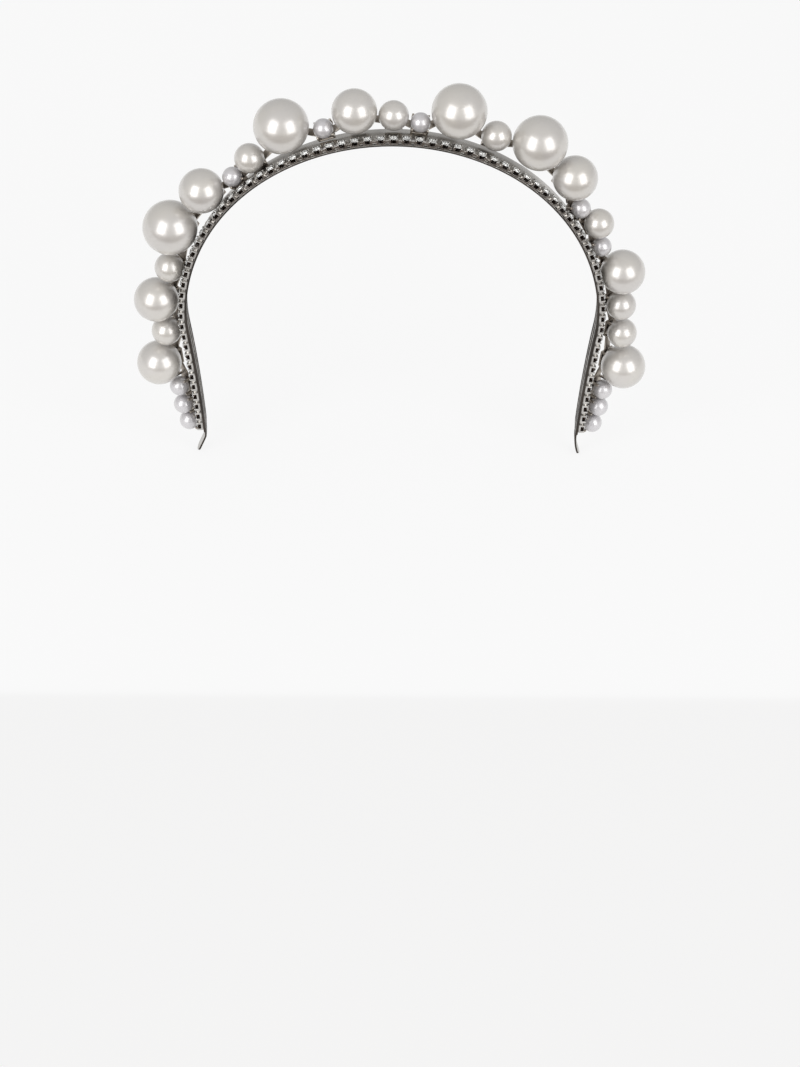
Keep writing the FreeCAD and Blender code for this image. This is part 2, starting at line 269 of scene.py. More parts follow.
# The chain ends level with the lowest pearl.  The strip stays wide under the rest of that
# pearl's setting, and the leg was drawn too long, so it is cut back to there.
NECK_LENGTH = 3.787 * MM
CHAIN_END = nearest_station(centre_of("pearl_30_seed"))
NECK = CHAIN_END + NECK_LENGTH
arcs[-1] = (arcs[-1][0], NECK, *arcs[-1][2:])
print("the chain ends", round(CHAIN_END / MM, 2), "mm from the middle of the crown")

# %% [markdown]
# ## Finishes
#
# Each finish is a small recipe of noises: a broad one for colour, a finer one for how the
# surface was polished, and a very fine one for its grain.  The broad ones read the piece's own
# place, so that they carry across from piece to piece.  Numbers that are the same all over
# stand on the shader itself.

# %% Helpers for mixing a finish
def new_finish(name, metallic=0.0, **constants):
    finish = bpy.data.materials.new(name)
    finish.use_nodes = True
    shader = finish.node_tree.nodes["Principled BSDF"]
    shader.inputs["Metallic"].default_value = metallic
    for socket, value in constants.items():
        shader.inputs[socket.replace("_", " ").title().replace("Ior", "IOR")].default_value = value
    return finish, shader


def tool(finish, kind, settings=(), **sockets):
    made = finish.node_tree.nodes.new(kind)
    for name, value in dict(settings).items():
        setattr(made, name, value)
    for name, value in sockets.items():
        into = made.inputs[name.replace("_", " ")]
        if isinstance(value, bpy.types.NodeSocket):
            finish.node_tree.links.new(value, into)
        else:
            into.default_value = value
    return made


def own_place(finish):
    return tool(finish, "ShaderNodeTexCoord").outputs["Object"]


def grain(finish, place, scale, detail=3.0, stretch=(1, 1, 1)):
    """A noise from 0 to 1.  The scale is in grains to the metre."""
    stretched = tool(finish, "ShaderNodeMapping", Vector=place, Scale=stretch)
    noise = tool(
        finish, "ShaderNodeTexNoise", Vector=stretched.outputs["Vector"],
        Scale=scale, Detail=detail, Roughness=0.55,
    )
    return noise.outputs["Fac"]


def spread(finish, value, low, high, start=0.3, stop=0.7):
    """Stretches the middle of a noise over a range."""
    ranged = tool(
        finish, "ShaderNodeMapRange", {"interpolation_type": "SMOOTHSTEP"}, Value=value,
    )
    limits = (("From Min", start), ("From Max", stop), ("To Min", low), ("To Max", high))
    for socket, number in limits:
        ranged.inputs[socket].default_value = number
    return ranged.outputs["Result"]


def blend(finish, share, first, second):
    """Mixes two colours, or two outputs that carry a colour."""
    mix = tool(finish, "ShaderNodeMix", {"data_type": "RGBA"})
    for index, value in ((0, share), (6, first), (7, second)):
        if isinstance(value, bpy.types.NodeSocket):
            finish.node_tree.links.new(value, mix.inputs[index])
        else:
            mix.inputs[index].default_value = value if index == 0 else (*value, 1)
    return mix.outputs[2]


def sum_of(finish, first, second, kind="ADD"):
    total = tool(finish, "ShaderNodeMath", {"operation": kind})
    for index, value in enumerate((first, second)):
        if isinstance(value, bpy.types.NodeSocket):
            finish.node_tree.links.new(value, total.inputs[index])
        else:
            total.inputs[index].default_value = value
    return total.outputs["Value"]


def relief(finish, height, distance, below=None):
    bump = tool(finish, "ShaderNodeBump", Height=height, Distance=distance, Strength=1.0)
    if below is not None:
        finish.node_tree.links.new(below, bump.inputs["Normal"])
    return bump.outputs["Normal"]


def wire_up(finish, shader, **outputs):
    for name, output in outputs.items():
        finish.node_tree.links.new(output, shader.inputs[name.replace("_", " ")])


# %% [markdown]
# ### Pearl
#
# These are glass pearls: a round bead dipped many times in pearl lacquer.  The lacquer shines
# twice, once sharply from its clear top coat and once softly from the fish-scale flakes below.
# So the finish has a clear coat over a body that is partly metallic and fairly rough.  The
# body drifts between a warm and a cool white, and dipping leaves very faint ripples and a few
# dust specks.

# %% Pearl finishes
FLAKE_SHARE = 0.25
DUST_TONE = 0.86


def pearl_finish(name, warm, cool):
    finish, shader = new_finish(
        name, metallic=FLAKE_SHARE, ior=1.6, coat_weight=1.0, coat_roughness=0.23, coat_ior=2.2,
    )
    place = own_place(finish)
    cloud = spread(finish, grain(finish, place, 90, 2.0), 0.0, 1.0)
    flakes = grain(finish, place, 2600, 2.0)
    specks = spread(finish, grain(finish, place, 1500, 1.0), 0.0, 1.0, 0.71, 0.78)
    body = blend(finish, cloud, warm, cool)
    dusty = tuple(DUST_TONE * value for value in warm)
    speckled = blend(finish, specks, body, dusty)
    rough = spread(finish, grain(finish, place, 240), 0.33, 0.41)
    ripple = relief(finish, grain(finish, place, 420, 2.0), 0.012 * MM)
    grainy = relief(finish, flakes, 0.0012 * MM, ripple)
    wire_up(finish, shader, Base_Color=speckled, Roughness=rough, Normal=grainy)
    return finish


PEARL = pearl_finish("pearl_lacquer", (0.515, 0.488, 0.448), (0.49, 0.466, 0.442))
SEED_PEARL = pearl_finish("seed_pearl_lacquer", (0.525, 0.507, 0.512), (0.505, 0.49, 0.505))
print("pearl finishes mixed")

# %% [markdown]
# ### Metals
#
# The strip is spring steel, rolled, so its fine scratches run along it.  Its outer face is
# left grey, and its inner face and edges are blackened, with only the lips of the grooves
# rubbed bright.  The chain is bright plated, with painted shade inside its cups and on the
# foot of their walls, and its links are darker towards the bottom.  The settings are an older,
# browner metal with a duller polish.

# %% Metal finishes
# The lengthwise map goes from -1 at the front edge to 1 at the back edge, so a groove runs a
# third of the way out to each side.
GROOVE_PLACE = 1 / 3


def steel_finish():
    finish, shader = new_finish("darkened_spring_steel", metallic=1.0, anisotropic=0.35)
    place = own_place(finish)
    flat = tool(finish, "ShaderNodeUVMap", {"uv_map": "along_strip"}).outputs["UV"]
    over = tool(finish, "ShaderNodeSeparateXYZ", Vector=flat).outputs["X"]
    across = tool(finish, "ShaderNodeMath", {"operation": "ABSOLUTE"}, Value=over).outputs["Value"]
    inside = tool(finish, "ShaderNodeAttribute", {"attribute_name": "inner_face"}).outputs["Fac"]
    scratches = grain(finish, flat, 1.0, 4.0, (55, 140, 1))
    smears = grain(finish, place, 70, 3.0)
    outer = blend(finish, spread(finish, smears, 0, 1), (0.54, 0.525, 0.50), (0.42, 0.405, 0.385))
    inner = blend(
        finish, spread(finish, smears, 0, 1), (0.045, 0.037, 0.031), (0.028, 0.024, 0.021),
    )
    body = blend(finish, inside, outer, inner)
    from_groove = tool(
        finish, "ShaderNodeMath", {"operation": "ABSOLUTE"},
        Value=sum_of(finish, across, GROOVE_PLACE, "SUBTRACT"),
    ).outputs["Value"]
    lips = sum_of(
        finish, spread(finish, from_groove, 0, 1, 0.025, 0.045),
        spread(finish, from_groove, 1, 0, 0.07, 0.10), "MULTIPLY",
    )
    worn = sum_of(finish, lips, spread(finish, grain(finish, place, 300), 0.4, 1.0), "MULTIPLY")
    worn = sum_of(finish, worn, inside, "MULTIPLY")
    colour = blend(finish, worn, body, (0.72, 0.70, 0.67))
    rough = sum_of(
        finish, spread(finish, scratches, 0.20, 0.32), spread(finish, smears, 0.0, 0.08),
    )
    rough = sum_of(finish, rough, spread(finish, inside, 0, 0.25, 0, 1))
    bare = sum_of(finish, spread(finish, inside, 1, 0, 0, 1), worn, "MAXIMUM")
    # The specular level differs over the surface, and an exported model leaves it out.
    gloss = spread(finish, inside, 0.5, 0.04, 0, 1)
    lines = relief(finish, scratches, 0.004 * MM)
    wire_up(
        finish, shader, Base_Color=colour, Roughness=rough, Metallic=bare,
        Specular_IOR_Level=gloss, Normal=lines,
    )
    return finish


def plated_finish(name, bright, dull, dark, rough_low, rough_high):
    """Plating mottled between bright and dull, darkened where each point's number says: painted
    shade on the chain, an even tarnish on the settings.
    """
    finish, shader = new_finish(name, metallic=1.0)
    place = own_place(finish)
    shade_and_tarnish_mask = tool(finish, "ShaderNodeAttribute", {"attribute_name": "painted_shade_and_tarnish"}).outputs["Fac"]
    clouds = grain(finish, place, 350, 3.0)
    fine = grain(finish, place, 2400, 2.0)
    metal = blend(finish, spread(finish, clouds, 0, 1), bright, dull)
    # Painted shade in the cups, the links darker towards the bottom, and an even tarnish on the
    # settings, all mottled by the clouds.
    shade_and_tarnish_amount = sum_of(finish, shade_and_tarnish_mask, spread(finish, clouds, 0.55, 1.15), "MULTIPLY")
    colour = blend(finish, shade_and_tarnish_amount, metal, dark)
    rough = sum_of(
        finish, spread(finish, fine, rough_low, rough_high), spread(finish, shade_and_tarnish_mask, 0, 0.18, 0, 1),
    )
    dents = relief(finish, clouds, 0.02 * MM)
    pits = relief(finish, fine, 0.003 * MM, dents)
    wire_up(finish, shader, Base_Color=colour, Roughness=rough, Normal=pits)
    return finish


STEEL = steel_finish()
PLATED = plated_finish(
    "bright_plating", (0.70, 0.685, 0.66), (0.52, 0.505, 0.48), (0.075, 0.053, 0.042), 0.15, 0.27,
)
OLD_SILVER = plated_finish(
    "old_silver", (0.60, 0.55, 0.49), (0.44, 0.39, 0.34), (0.10, 0.08, 0.06), 0.27, 0.42,
)
print("metal finishes mixed")

# %% [markdown]
# ### Crystal
#
# A chain crystal is cut glass with a silver foil on its back.  Light goes in through the
# crown, is thrown about between the foiled facets and comes out as sparks.  The stone is one
# closed mesh with two finishes: clear glass on the crown and foil on the pavilion.

# %% Crystal finishes
def glass_finish():
    finish, shader = new_finish(
        "cut_glass", ior=1.62, transmission_weight=1.0, coat_weight=0.4, coat_roughness=0.02,
    )
    place = own_place(finish)
    tint = blend(
        finish, spread(finish, grain(finish, place, 200, 1.0), 0, 1),
        (0.985, 0.985, 0.975), (0.945, 0.955, 0.965),
    )
    rough = spread(finish, grain(finish, place, 1600, 2.0), 0.005, 0.045)
    scuffs = relief(finish, grain(finish, place, 3000, 1.0), 0.0006 * MM)
    wire_up(finish, shader, Base_Color=tint, Roughness=rough, Normal=scuffs)
    return finish


def foil_finish():
    """Silver as seen through the stone, and brown lacquer as seen from behind it."""
    finish, shader = new_finish("silver_foil", metallic=0.8)
    place = own_place(finish)
    silver = blend(
        finish, spread(finish, grain(finish, place, 900, 2.0), 0, 1),
        (0.97, 0.97, 0.96), (0.86, 0.855, 0.84),
    )
    lacquer = blend(
        finish, spread(finish, grain(finish, place, 1300, 2.0), 0, 1),
        (0.085, 0.055, 0.042), (0.045, 0.03, 0.023),
    )
    # A known weakness: the colour depends on which side of a facet is seen.
    inside = tool(finish, "ShaderNodeNewGeometry").outputs["Backfacing"]
    tone = blend(finish, inside, lacquer, silver)
    rough = spread(finish, grain(finish, place, 2200, 2.0), 0.10, 0.28)
    creases = relief(finish, grain(finish, place, 1400, 2.0), 0.006 * MM)
    wire_up(finish, shader, Base_Color=tone, Roughness=rough, Normal=creases)
    return finish


GLASS = glass_finish()
FOIL = foil_finish()
print("crystal finishes mixed")


def dress(piece, slot, *finishes):
    """Gives a piece the body that it rides on and, if any is named, its finish.  The slot is not
    used.
    """
    if finishes:
        piece.data.materials.clear()
    for finish in finishes:
        piece.data.materials.append(finish)
    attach(piece, BODY)


# %% [markdown]
# ## The steel strip
#
# A flat strip could be a curve with a thickness, but its section matters here: the long edges
# are rounded off, and two fine grooves run along the inner face so that it grips the hair.  So
# one section is drawn flat and spun along the head, arc by arc, as a strip goes through the
# rolls of a bending machine.  Past the chain it is spun a little at a time and squeezed
# narrower after each turn, which shapes the tongue behind the ear.

# %% Section of the strip
BAND_WIDTH = 12 * MM
GROOVE_SPACING = 4 * MM
GROOVE_WIDTH = 0.6 * MM
GROOVE_DEPTH = 0.2 * MM
GROOVE_SLOPE = 0.12 * MM
EDGE_ROUNDING = 0.28 * MM
OUTER_SHARE = 0.9


def drawn_section(name):
    """The outline of the strip's section, standing at the middle of the crown."""
    middle = (0, 0, CROWN_RADIUS + BAND_THICKNESS / 2)
    let_go()
    bpy.ops.mesh.primitive_plane_add(size=1, location=middle, rotation=(0, math.pi / 2, 0))
    section = newly_made(name)
    start_edit(section)
    bpy.ops.transform.resize(value=(1, BAND_WIDTH, BAND_THICKNESS), center_override=middle)
    half = GROOVE_WIDTH / 2
    for side in (-1, 1):
        for step in (-half, GROOVE_SLOPE - half, half - GROOVE_SLOPE, half):
            bpy.ops.mesh.select_all(action="SELECT")
            bpy.ops.mesh.bisect(
                plane_co=(0, side * GROOVE_SPACING / 2 + step, 0), plane_no=(0, 1, 0),
            )
    choose(section, "EDGE", lambda edge: len(edge.link_faces) == 2)
    bpy.ops.mesh.dissolve_edges(use_verts=False)
    choose(section, "VERT", lambda v: v.co.z < middle[2]
           and abs(abs(v.co.y) - GROOVE_SPACING / 2) < half - GROOVE_SLOPE / 2)
    bpy.ops.transform.translate(value=(0, 0, GROOVE_DEPTH))
    choose(section, "VERT", lambda v: abs(v.co.y) > BAND_WIDTH / 2 - EDGE_ROUNDING)
    bpy.ops.mesh.bevel(offset=EDGE_ROUNDING, segments=3, affect="VERTICES", profile=0.5)
    bpy.ops.mesh.select_all(action="SELECT")
    bpy.ops.mesh.delete(type="ONLY_FACE")
    bpy.ops.mesh.select_all(action="SELECT")
    stop_edit()
    return section


section = drawn_section("section")
SECTION_POINTS = len(section.data.vertices)
section_across = [v.co.y / (BAND_WIDTH / 2) for v in section.data.vertices]
section_height = [(v.co.z - CROWN_RADIUS) / BAND_THICKNESS for v in section.data.vertices]
scrap(section)
print("the section has", SECTION_POINTS, "points")

# %% Spin the section over the head, then squeeze it down to its tongue
TONGUE_SHARE = 5.0 / 12.0
TIP_LENGTH = TONGUE_SHARE * BAND_WIDTH / 2
ARC_STEPS = (28, 48, 10, 36)
NECK_STEPS = 12
TONGUE_STEPS = 12
TIP_STEPS = 9
TIP_TURN = math.radians(86)


def spin_on(leg, start, stop, steps, stations):
    """Spins the selected ring of points along the strip, and notes where each ring stands."""
    arc = [each for each in leg if each[0] <= start + HAIR][-1]
    _, _, _, radius, centre = arc
    bpy.ops.mesh.spin(
        steps=steps, angle=(stop - start) / radius,
        center=(centre[0], 0, centre[1]), axis=(0, -1, 0),
    )
    stations.extend(start + (stop - start) * step / steps for step in range(1, steps + 1))
    return stop


def squeeze(before, after):
    bpy.ops.transform.resize(value=(1, after / before, 1), center_override=(0, 0, 0))
    return after


def spun_leg(side):
    """One leg of the strip, spun on the right, with the tongue of its own side."""
    leg = list(arcs)
    radius = TONGUE_RADIUS[side]
    add_arc(leg, -radius, TONGUE_ANGLE)
    rest = TONGUE_LENGTH - radius * TONGUE_ANGLE
    if rest > 0:
        add_arc(leg, -LEG_RADIUS, rest / LEG_RADIUS)
    tip = leg[-1][1]
    piece = drawn_section("strip_" + side)
    hold(piece)
    bpy.ops.object.mode_set(mode="EDIT")
    stations = [0.0]
    at = 0.0
    for arc, steps in zip(leg, ARC_STEPS):
        at = spin_on(leg, at, min(arc[1], CHAIN_END), steps, stations)
    share = 1.0
    for step in range(1, NECK_STEPS + 1):
        reach = step / NECK_STEPS
        at = spin_on(leg, at, CHAIN_END + NECK_LENGTH * reach, 1, stations)
        eased = reach * reach * (3 - 2 * reach)
        share = squeeze(share, 1 - (1 - TONGUE_SHARE) * eased)
    bend = leg[len(arcs)][1]
    stops = [NECK + (tip - TIP_LENGTH - NECK) * step / TONGUE_STEPS
             for step in range(1, TONGUE_STEPS + 1)]
    if bend < stops[-1]:
        stops = sorted(stops + [bend])
    for stop in stops:
        at = spin_on(leg, at, stop, 1, stations)
    for step in range(1, TIP_STEPS + 1):
        turn = TIP_TURN * step / TIP_STEPS
        at = spin_on(leg, at, tip - TIP_LENGTH * (1 - math.sin(turn)), 1, stations)
        share = squeeze(share, TONGUE_SHARE * math.cos(turn))
    bpy.ops.mesh.edge_face_add()
    stop_edit()
    return piece, stations


# %% Lay the lengthwise map and join the two legs
# The map runs from edge to edge and from the crown to the tip, so that scratches follow the
# strip round the head.
def lay_map(piece, stations, side):
    piece.data.uv_layers.new(name="along_strip")
    piece.data.attributes.new("inner_face", "FLOAT", "POINT")
    along = piece.data.uv_layers["along_strip"]
    for loop in piece.data.loops:
        ring, point = divmod(loop.vertex_index, SECTION_POINTS)
        along.data[loop.index].uv = (section_across[point], side * stations[ring])
    inner_face = piece.data.attributes["inner_face"]
    for vertex in piece.data.vertices:
        height = section_height[vertex.index % SECTION_POINTS]
        inner_face.data[vertex.index].value = 1.0 if height < OUTER_SHARE else 0.0


right_leg, right_stations = spun_leg("right")
lay_map(right_leg, right_stations, 1)
left_leg, left_stations = spun_leg("left")
lay_map(left_leg, left_stations, -1)
start_edit(left_leg)
bpy.ops.transform.resize(value=(-1, 1, 1), center_override=(0, 0, 0))
stop_edit()
band = hold(right_leg, left_leg)
bpy.ops.object.join()
band.name = "band_strip"
outwards(band)
smooth(band, 30)
dress(band, "band_steel", STEEL)
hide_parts("band")
low, high = Vector(band.bound_box[0]), Vector(band.bound_box[6])
print("strip", [round(v / MM, 2) for v in (*low, *high)])

# %% [markdown]
# ## The chain of cups
#
# Every cup of the chain is the same stamping: a square box whose front and back walls are cut
# down to a low sill, and a prong at each corner that is pressed over the stone.  One cup is
# made by hand: a block is hollowed, a rounded punch opens both walls, and four bent prongs are
# welded on.  Then it is copied along the strip.

# %% One cup
CUP_SIZE = 3.6 * MM
CUP_WALL = 0.3 * MM
CUP_FLOOR = 0.4 * MM
CUP_HEIGHT = 2.1 * MM
WINDOW_WIDTH = 2.1 * MM
WINDOW_SILL = 0.75 * MM
WINDOW_ROUNDING = 0.18 * MM
PRONG_SIZE = 0.6 * MM
PRONG_LEAN = 0.24 * MM
METAL_ROUNDING = 0.06 * MM

cup = block("chain_cup", (CUP_SIZE, CUP_SIZE, CUP_HEIGHT), (0, 0, CUP_HEIGHT / 2))
start_edit(cup)
choose(cup, "FACE", lambda face: face.normal.z > FACING_UP)
bpy.ops.mesh.inset(thickness=CUP_WALL)
bpy.ops.mesh.extrude_region_move(
    TRANSFORM_OT_translate={"value": (0, 0, CUP_FLOOR - CUP_HEIGHT)},
)
stop_edit()

punch = block(
    "window_punch", (WINDOW_WIDTH, 2 * CUP_SIZE, CUP_HEIGHT),
    (0, 0, WINDOW_SILL + CUP_HEIGHT / 2),
)
start_edit(punch)
choose(punch, "EDGE", lambda edge: abs(edge.verts[0].co.y - edge.verts[1].co.y) > CUP_SIZE
       and middle_of(edge).z < CUP_HEIGHT)
bpy.ops.mesh.bevel(offset=WINDOW_ROUNDING, segments=3)
stop_edit()
modify(cup, "BOOLEAN", operation="DIFFERENCE", object=punch, solver="EXACT")
scrap(punch)
print("the plain cup has", len(cup.data.polygons), "faces")

# %% Its four prongs
# Each prong is drawn out of its corner post in three bites.  A bite leans it in over the stone
# by a share of the lean, raises it by so many millimetres and makes it slimmer.
PRONG_BITES = ((0.0, 0.22, 0.96), (0.35, 0.14, 0.9), (0.65, 0.09, 0.72))
prong_middle = (CUP_SIZE - PRONG_SIZE) / 2
prong = block(
    "prong", (PRONG_SIZE, PRONG_SIZE, CUP_HEIGHT), (prong_middle, prong_middle, CUP_HEIGHT / 2),
)
start_edit(prong)
choose(prong, "FACE", lambda face: face.normal.z > FACING_UP)
for lean, rise, waist in PRONG_BITES:
    bpy.ops.mesh.extrude_region_move(TRANSFORM_OT_translate={
        "value": (-lean * PRONG_LEAN, -lean * PRONG_LEAN, rise * MM),
    })
    shape = bmesh.from_edit_mesh(prong.data)
    top = [v.co for v in shape.verts if v.select]
    middle = sum(top, Vector()) / len(top)
    bpy.ops.transform.resize(value=(waist, waist, 1), center_override=middle)
bpy.ops.mesh.select_all(action="SELECT")
stop_edit()
modify(prong, "BEVEL", width=2 * METAL_ROUNDING, segments=2, limit_method="ANGLE",
       angle_limit=math.radians(40))
modify(prong, "MIRROR", use_axis=(True, True, False), use_mirror_merge=False)
outwards(prong)
soften(cup, METAL_ROUNDING)
modify(cup, "BOOLEAN", operation="UNION", object=prong, solver="EXACT")
scrap(prong)
outwards(cup)
start_edit(cup)
bpy.ops.mesh.dissolve_degenerate(threshold=0.002 * MM)
stop_edit()
print("the cup with its prongs has", len(cup.data.polygons), "faces")

# %% [markdown]
# The plating on the chain is bright, and the shade of the cups is painted into it: nearly
# black in the pocket under the stone, and the outside of the cup darker towards its bottom.
# Each point of the cup keeps a number for how much painted shade it gets, and the finish reads it.

# %% How much painted shade each point of the cup gets
POCKET_RIM = 0.02 * MM
LOW_WALL = 0.35 * CUP_HEIGHT
LOW_WALL_PAINTED_SHADE = 0.5


# Each point keeps how far the finish darkens it: painted shade on the chain, an even tarnish on
# the settings.
def mark_shade_and_tarnish(piece, depth_of):
    marks = piece.data.attributes.new("painted_shade_and_tarnish", "FLOAT", "POINT")
    for vertex in piece.data.vertices:
        marks.data[vertex.index].value = min(max(depth_of(vertex.co), 0.0), 1.0)


# Painted shade: full in the pocket under the stone, and on the outside fading from the bottom up
# to the low wall's height.
def cup_painted_shade(point):
    pocket = (CUP_SIZE - CUP_WALL) / 2
    inside = max(abs(point.x), abs(point.y)) < pocket and point.z < CUP_HEIGHT - POCKET_RIM
    return 1.0 if inside else LOW_WALL_PAINTED_SHADE * (1 - point.z / LOW_WALL)


mark_shade_and_tarnish(cup, cup_painted_shade)
smooth(cup)

# %% One crystal, cut facet by facet
# The stone starts as a plain round blank.  Each facet is a flat cut at its own angle, as on a
# lapidary's wheel: the table, then the main crown facets, the small star and girdle facets
# between them, and the steep pavilion below.
GIRDLE_RADIUS = 1.45 * MM
GIRDLE_LOW = CUP_HEIGHT
GIRDLE_HIGH = GIRDLE_LOW + 0.15 * MM
TABLE_HEIGHT = GIRDLE_HIGH + 0.45 * MM
CULET_HEIGHT = CUP_FLOOR
CULET_RADIUS = 0.25 * MM
TABLE_RADIUS = 0.56 * GIRDLE_RADIUS
FACETS = 8


def cut_facet(turn, radius, height, slope):
    """Cuts away everything past a plane that leans back by a slope from upright."""
    outward = Vector((math.cos(turn), math.sin(turn), 0))
    bpy.ops.mesh.select_all(action="SELECT")
    bpy.ops.mesh.bisect(
        plane_co=outward * radius + Vector((0, 0, height)),
        plane_no=outward * math.cos(slope) + Vector((0, 0, math.sin(slope))),
        use_fill=True, clear_outer=True, threshold=0.0001 * MM,
    )


let_go()
bpy.ops.mesh.primitive_cylinder_add(
    vertices=32, radius=GIRDLE_RADIUS, depth=TABLE_HEIGHT - CULET_HEIGHT,
    location=(0, 0, (TABLE_HEIGHT + CULET_HEIGHT) / 2), end_fill_type="NGON",
)
stone = newly_made("crystal")
start_edit(stone)
full_turn = 2 * math.pi
crown_slope = math.atan2(GIRDLE_RADIUS - TABLE_RADIUS, TABLE_HEIGHT - GIRDLE_HIGH)
pavilion_slope = math.atan2(GIRDLE_RADIUS - CULET_RADIUS, GIRDLE_LOW - CULET_HEIGHT)
for facet in range(FACETS):
    turn = full_turn * facet / FACETS
    cut_facet(turn, TABLE_RADIUS, TABLE_HEIGHT, crown_slope)
    cut_facet(turn, GIRDLE_RADIUS, GIRDLE_LOW, -pavilion_slope)
for facet in range(2 * FACETS):
    turn = full_turn * (facet + 0.5) / (2 * FACETS)
    cut_facet(turn, 0.995 * GIRDLE_RADIUS, GIRDLE_HIGH, crown_slope - math.radians(7))
    cut_facet(turn, 0.995 * GIRDLE_RADIUS, GIRDLE_LOW, math.radians(3) - pavilion_slope)
for facet in range(FACETS):
    turn = full_turn * (facet + 0.5) / FACETS
    cut_facet(turn, 0.96 * TABLE_RADIUS, TABLE_HEIGHT, crown_slope + math.radians(13))
stop_edit()
outwards(stone)
foiled = 0
stone.data.materials.append(GLASS)
stone.data.materials.append(FOIL)
for face in stone.data.polygons:
    if face.normal.z < -0.05:
        face.material_index = 1
        foiled += 1
print("the crystal has", len(stone.data.polygons), "facets and", foiled, "of them are foiled")

# %% One link of the chain
CUP_DEPTH = CUP_SIZE / 2 - BAND_WIDTH / 2
LINK_WIDTH = 2.4 * MM
LINK_HEIGHT = 1.3 * MM
LINK_SILL = 0.3 * MM
LINK_GRIP = 0.12 * MM
CUP_PITCH = 4.9 * MM
SEAM_STATION = 22 * MM
SEAM_GAP = 0.4 * MM
LINK_BOTTOM_DARKENING = 0.25
cup_count = 2 * round(CHAIN_END / CUP_PITCH - 0.5) + 1
pitch = 2 * CHAIN_END / cup_count


def link_bar(name, shortfall):
    """A flat link.  The chain is in two pieces, and the link at the seam falls short."""
    bar = block(
        name, (pitch - CUP_SIZE + 2 * LINK_GRIP - shortfall, LINK_WIDTH, LINK_HEIGHT),
        (-shortfall / 2, 0, LINK_SILL + LINK_HEIGHT / 2),
    )
    soften(bar, 2 * METAL_ROUNDING)
    # The link is painted darker towards its bottom, near the strip.
    mark_shade_and_tarnish(bar, lambda point: LINK_BOTTOM_DARKENING * (1 - (point.z - LINK_SILL) / LINK_HEIGHT))
    smooth(bar)
    return bar


link = link_bar("chain_link", 0.0)
seam_link = link_bar("seam_link", LINK_GRIP + SEAM_GAP)
print(cup_count, "cups stand", round(pitch / MM, 3), "mm apart")

# %% Set the copies down along the strip
def copies_joined(name, master, places):
    """One mesh for a run of copies, each turned and moved to its place."""
    made = []
    for place in places:
        copy = master.copy()
        copy.data = master.data.copy()
        bpy.context.scene.collection.objects.link(copy)
        copy.data.transform(place)
        made.append(copy)
    hold(*made)
    if len(made) > 1:
        bpy.ops.object.join()
    whole = bpy.context.object
    whole.name = name
    whole.data.name = name
    return whole


cup_stations = [(place + 0.5) * pitch - CHAIN_END for place in range(cup_count)]
cup_places = [on_strip(station, BAND_THICKNESS, CUP_DEPTH) for station in cup_stations]
link_places = [
    on_strip(station + pitch / 2, BAND_THICKNESS, CUP_DEPTH) for station in cup_stations[:-1]
]
left_count = sum(station < SEAM_STATION for station in cup_stations)
seam_place = link_places.pop(left_count - 1)
for side, places in (("left", cup_places[:left_count]), ("right", cup_places[left_count:])):
    cups = copies_joined("cups_" + side, cup, places)
    dress(cups, "chain_metal", PLATED)
    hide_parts("chain_cups_" + side)
    stones = copies_joined("stones_" + side, stone, places)
    dress(stones, "crystal")
    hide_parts("crystals_" + side)
    print(side, len(places), "cups,", len(cups.data.polygons), "faces")
full_links = copies_joined("full_links", link, link_places)
short_links = copies_joined("short_links", seam_link, [seam_place])
links = hold(full_links, short_links)
bpy.ops.object.join()
links.name = "links_of_chain"
links.data.name = "links_of_chain"
dress(links, "chain_metal", PLATED)
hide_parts("chain_links")
scrap(cup, stone, link, seam_link)

# %% [markdown]
# ## The pearls
#
# A pearl is a ball, but a real one is drilled.  One ball is made for each size: its back pole
# is opened to the width of the peg, drilled in and countersunk.  The copies are turned so that
# the drill hole meets the setting behind.

# %% One drilled ball for each size
PEARL_DIAMETER = {"seed": 8 * MM, "small": 12 * MM, "medium": 18 * MM, "large": 22 * MM}
PEG_RADIUS = 0.5 * MM
PEG_REACH = 3.0 * MM
COUNTERSINK = 0.12 * MM
SETTING_TILT = math.radians(40)


def drilled_ball(size):
    radius = PEARL_DIAMETER[size] / 2
    around = 64 if radius < 7 * MM else 96
    let_go()
    bpy.ops.mesh.primitive_uv_sphere_add(segments=around, ring_count=around // 2, radius=radius)
    ball = newly_made("ball_" + size)
    mouth = PEG_RADIUS + COUNTERSINK
    start_edit(ball)
    choose(ball, "FACE", lambda face: face.normal.z < 0
           and max(v.co.xy.length for v in face.verts) < 1.6 * mouth + radius * 0.04)
    shape = bmesh.from_edit_mesh(ball.data)
    rim = max(v.co.xy.length for v in shape.verts if v.select)
    bpy.ops.mesh.delete(type="FACE")
    choose(ball, "EDGE", lambda edge: edge.is_boundary)
    out_to_mouth = (mouth * mouth - rim * rim) / (2 * radius)
    steps = ((mouth, out_to_mouth), (PEG_RADIUS, COUNTERSINK), (PEG_RADIUS, PEG_REACH))
    for width, lift in steps:
        bpy.ops.mesh.extrude_region_move(TRANSFORM_OT_translate={"value": (0, 0, lift)})
        bpy.ops.transform.resize(value=(width / rim, width / rim, 1), center_override=(0, 0, 0))
        rim = width
    bpy.ops.mesh.edge_face_add()
    stop_edit()
    outwards(ball)
    smooth(ball, 40)
    return ball


balls = {size: drilled_ball(size) for size in PEARL_DIAMETER}
print({size: len(ball.data.polygons) for size, ball in balls.items()})

# %% Set each pearl on its setting
PEARLS = sorted(name for name in frame["nodes"] if name.startswith("pearl_")
                and name != "pearl_pegs")


